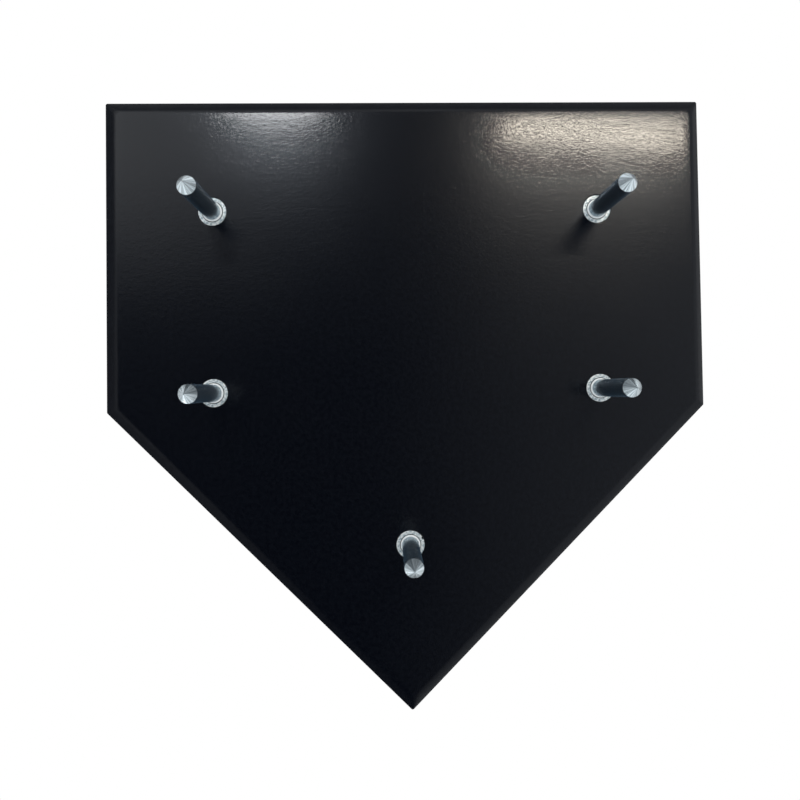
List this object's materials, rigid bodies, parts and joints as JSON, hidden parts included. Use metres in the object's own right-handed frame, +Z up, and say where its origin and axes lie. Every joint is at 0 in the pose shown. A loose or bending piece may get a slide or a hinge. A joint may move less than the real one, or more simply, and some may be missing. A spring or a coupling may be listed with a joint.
{
  "type": "home plate",
  "caption": "Pentagonal rubber home plate with a white playing face, a bevelled black border and pointed steel ground spikes bolted through its underside.",
  "frame": {"origin": "on the slab's underside, below the middle of the 17 inch square that the white face is cut from", "axes": "+Z up out of the white playing face, with the spikes along -Z; +Y towards the straight front edge, so the rear tip is at -Y; X across the plate"},
  "size_m": [0.4718, 0.4795, 0.1079],
  "materials": {
    "black_rubber": "moulded black rubber, satin, with a fine leathery grain",
    "white_rubber": "moulded white rubber, matt",
    "zinc_steel": "bright zinc plating on turned steel",
    "anchor_steel": "plain zinc plating"
  },
  "bodies": {
    "root": {"base_slab": "black_rubber", "top_face": "white_rubber", "spike_front_left": "zinc_steel", "flange_bush_front_left": "zinc_steel", "anchor_washer_front_left": "anchor_steel", "anchor_nut_front_left": "anchor_steel", "spike_front_right": "zinc_steel", "flange_bush_front_right": "zinc_steel", "anchor_washer_front_right": "anchor_steel", "anchor_nut_front_right": "anchor_steel", "spike_middle_left": "zinc_steel", "flange_bush_middle_left": "zinc_steel", "anchor_washer_middle_left": "anchor_steel", "anchor_nut_middle_left": "anchor_steel", "spike_middle_right": "zinc_steel", "flange_bush_middle_right": "zinc_steel", "anchor_washer_middle_right": "anchor_steel", "anchor_nut_middle_right": "anchor_steel", "spike_tip": "zinc_steel", "flange_bush_tip": "zinc_steel", "anchor_washer_tip": "anchor_steel", "anchor_nut_tip": "anchor_steel"}
  },
  "joints": []
}
